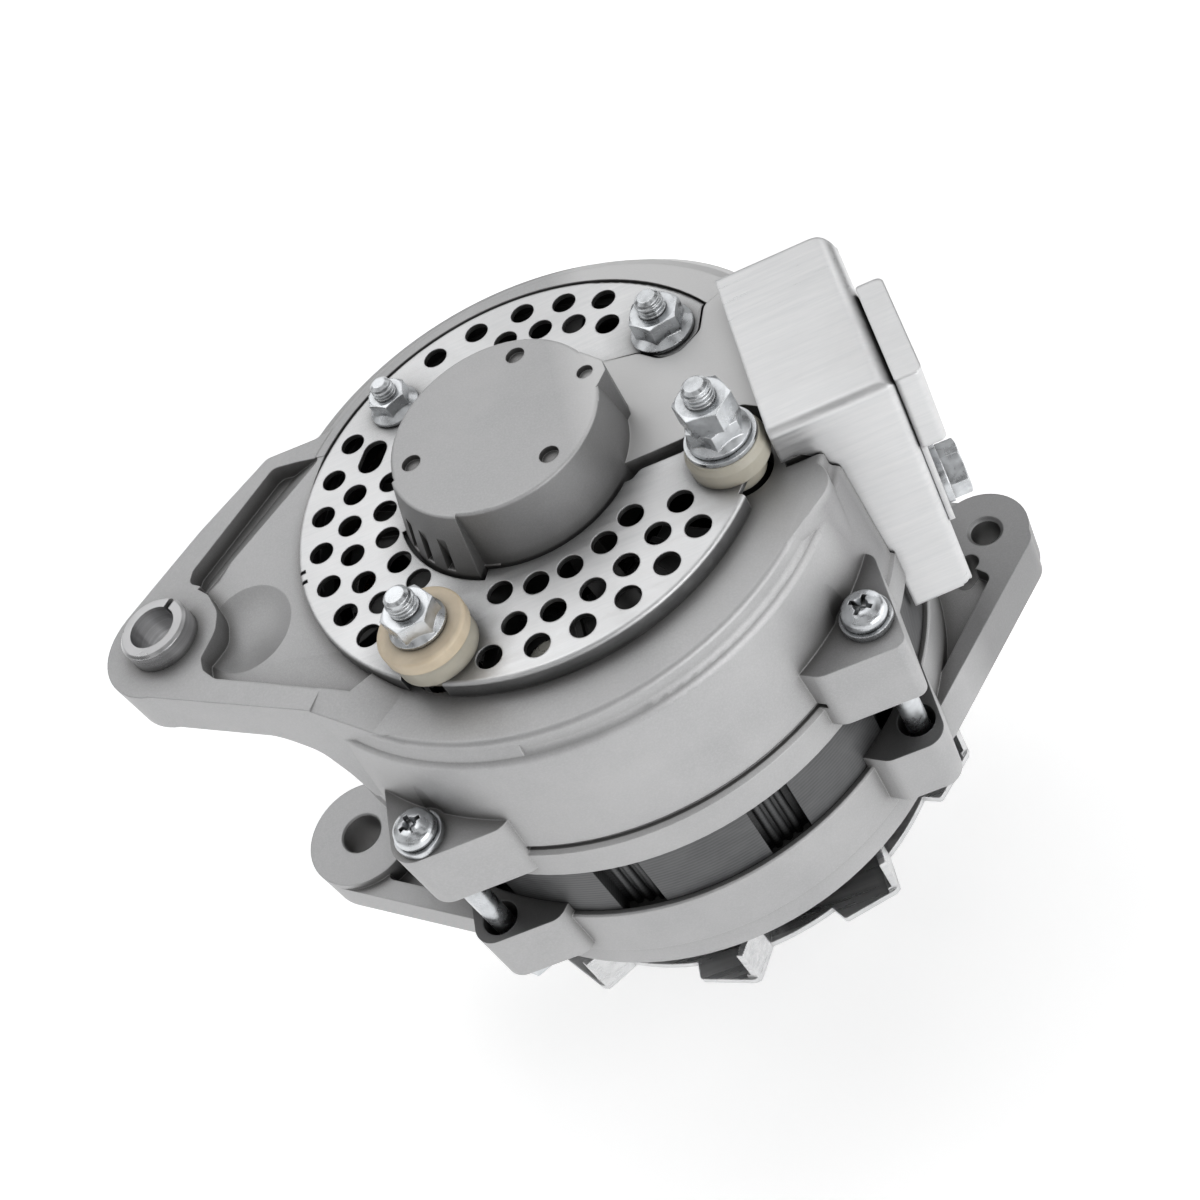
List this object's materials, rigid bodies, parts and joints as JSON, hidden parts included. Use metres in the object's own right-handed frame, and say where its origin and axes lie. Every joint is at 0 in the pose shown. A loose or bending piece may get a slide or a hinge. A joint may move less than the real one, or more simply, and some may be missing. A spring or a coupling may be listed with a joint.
{
  "type": "vehicle alternator",
  "caption": "Claw-pole alternator with perforated rear plate, boxed side regulator, split-bush pivot foot, adjusting ear, fan and V-belt pulley.",
  "frame": {"origin": "middle of the front pivot ear's bore, the bolt the alternator swings about", "axes": "+Z along the pivot bore and the rotor shaft towards the perforated rear end; +X from the pivot side towards the regulator and adjusting-ear side; +Y completes the right-handed set"},
  "size_m": [0.1875, 0.132, 0.1689],
  "materials": {
    "cast_aluminium": "bead-blasted die-cast surface",
    "laminations": "varnished steel laminations",
    "winding_copper": "enamelled copper wire",
    "plate_sheet": "zinc-plated sheet, brushed",
    "cover_sheet": "bright folded sheet",
    "zinc_steel": "zinc-plated hardware",
    "cream_insulator": "moulded insulator",
    "tan_insulator": "moulded insulator, darker",
    "dark_plastic": "moulded phenolic",
    "brush_carbon": "pressed carbon",
    "slip_ring_copper": "turned copper",
    "bearing_steel": "ground bearing steel",
    "spring_steel": "spring wire",
    "machined_steel": "turned steel",
    "pole_steel": "forged steel",
    "sink_aluminium": "stamped aluminium",
    "diode_can": "plated can",
    "fan_steel": "zinc-plated pressing",
    "pulley_steel": "turned and plated"
  },
  "bodies": {
    "housing": {"bearing_retainer": "machined_steel", "brush_holder": "dark_plastic", "cover_nuts": "zinc_steel", "cover_studs": "zinc_steel", "front_bearing_outer_race": "bearing_steel", "front_housing": "cast_aluminium", "lower_brush_spring": "spring_steel", "negative_diodes": "diode_can", "negative_heat_sink": "sink_aluminium", "output_nuts": "zinc_steel", "output_stud": "zinc_steel", "output_stud_bush": "cream_insulator", "output_washer": "zinc_steel", "perforated_plate": "plate_sheet", "positive_diodes": "diode_can", "positive_heat_sink": "sink_aluminium", "rear_bearing_outer_race": "bearing_steel", "rear_housing": "cast_aluminium", "rectifier_screws": "zinc_steel", "rectifier_spacers": "machined_steel", "regulator_body": "dark_plastic", "regulator_cover": "cover_sheet", "regulator_screws": "zinc_steel", "retainer_screws": "zinc_steel", "second_stud": "zinc_steel", "second_stud_bush": "cream_insulator", "second_stud_insulator": "tan_insulator", "second_stud_nut": "zinc_steel", "spring_washers": "zinc_steel", "stator_core": "laminations", "stator_winding": "winding_copper", "stud_sleeves": "dark_plastic", "suppressor": "cover_sheet", "through_bolt_nuts": "zinc_steel", "through_bolts": "zinc_steel", "upper_brush_spring": "spring_steel"},
    "rotor": {"rotor_shaft": "machined_steel", "rear_claw_pole": "pole_steel", "front_claw_pole": "pole_steel", "field_coil_bobbin": "dark_plastic", "field_coil": "winding_copper", "rotor_core": "machined_steel", "slip_ring_hub": "dark_plastic", "slip_rings": "slip_ring_copper", "rotor_spacer": "machined_steel", "rear_bearing_inner_race": "bearing_steel", "front_bearing_inner_race": "bearing_steel", "fan_spacer": "machined_steel", "fan": "fan_steel", "pulley": "pulley_steel", "pulley_key": "machined_steel", "lock_washer": "zinc_steel", "pulley_nut": "zinc_steel"},
    "rear_ball_set": {"rear_bearing_balls": "bearing_steel", "rear_bearing_cage": "bearing_steel"},
    "front_ball_set": {"front_bearing_balls": "bearing_steel", "front_bearing_cage": "bearing_steel"},
    "upper_brush": {"upper_brush": "brush_carbon"},
    "lower_brush": {"lower_brush": "brush_carbon"},
    "pivot_bush": {"pivot_bush": "machined_steel"}
  },
  "joints": [
    {"name": "rotor_spin", "type": "hinge", "parent": "housing", "child": "rotor", "pos_m": [0.0828, 0.005, 0], "axis": [0, 0, 1], "continuous": true},
    {"name": "rear_balls_spin", "type": "hinge", "parent": "housing", "child": "rear_ball_set", "pos_m": [0.0828, 0.005, 0], "axis": [0, 0, 1], "continuous": true},
    {"name": "front_balls_spin", "type": "hinge", "parent": "housing", "child": "front_ball_set", "pos_m": [0.0828, 0.005, 0], "axis": [0, 0, 1], "continuous": true},
    {"name": "upper_brush_slide", "type": "slide", "parent": "housing", "child": "upper_brush", "axis": [1, 0, 0], "range_m": [0, 0.004], "stiffness_N_per_m": 190, "springref_m": -0.012, "deforming": ["upper_brush_spring"]},
    {"name": "lower_brush_slide", "type": "slide", "parent": "housing", "child": "lower_brush", "axis": [1, 0, 0], "range_m": [0, 0.004], "stiffness_N_per_m": 190, "springref_m": -0.012, "deforming": ["lower_brush_spring"]},
    {"name": "pivot_bush_slide", "type": "slide", "parent": "housing", "child": "pivot_bush", "axis": [0, 0, 1], "range_m": [-0.003, 0.002]}
  ],
  "couplings": [
    {"joint": "rear_balls_spin", "follows": "rotor_spin", "ratio": 0.383},
    {"joint": "front_balls_spin", "follows": "rotor_spin", "ratio": 0.382}
  ]
}
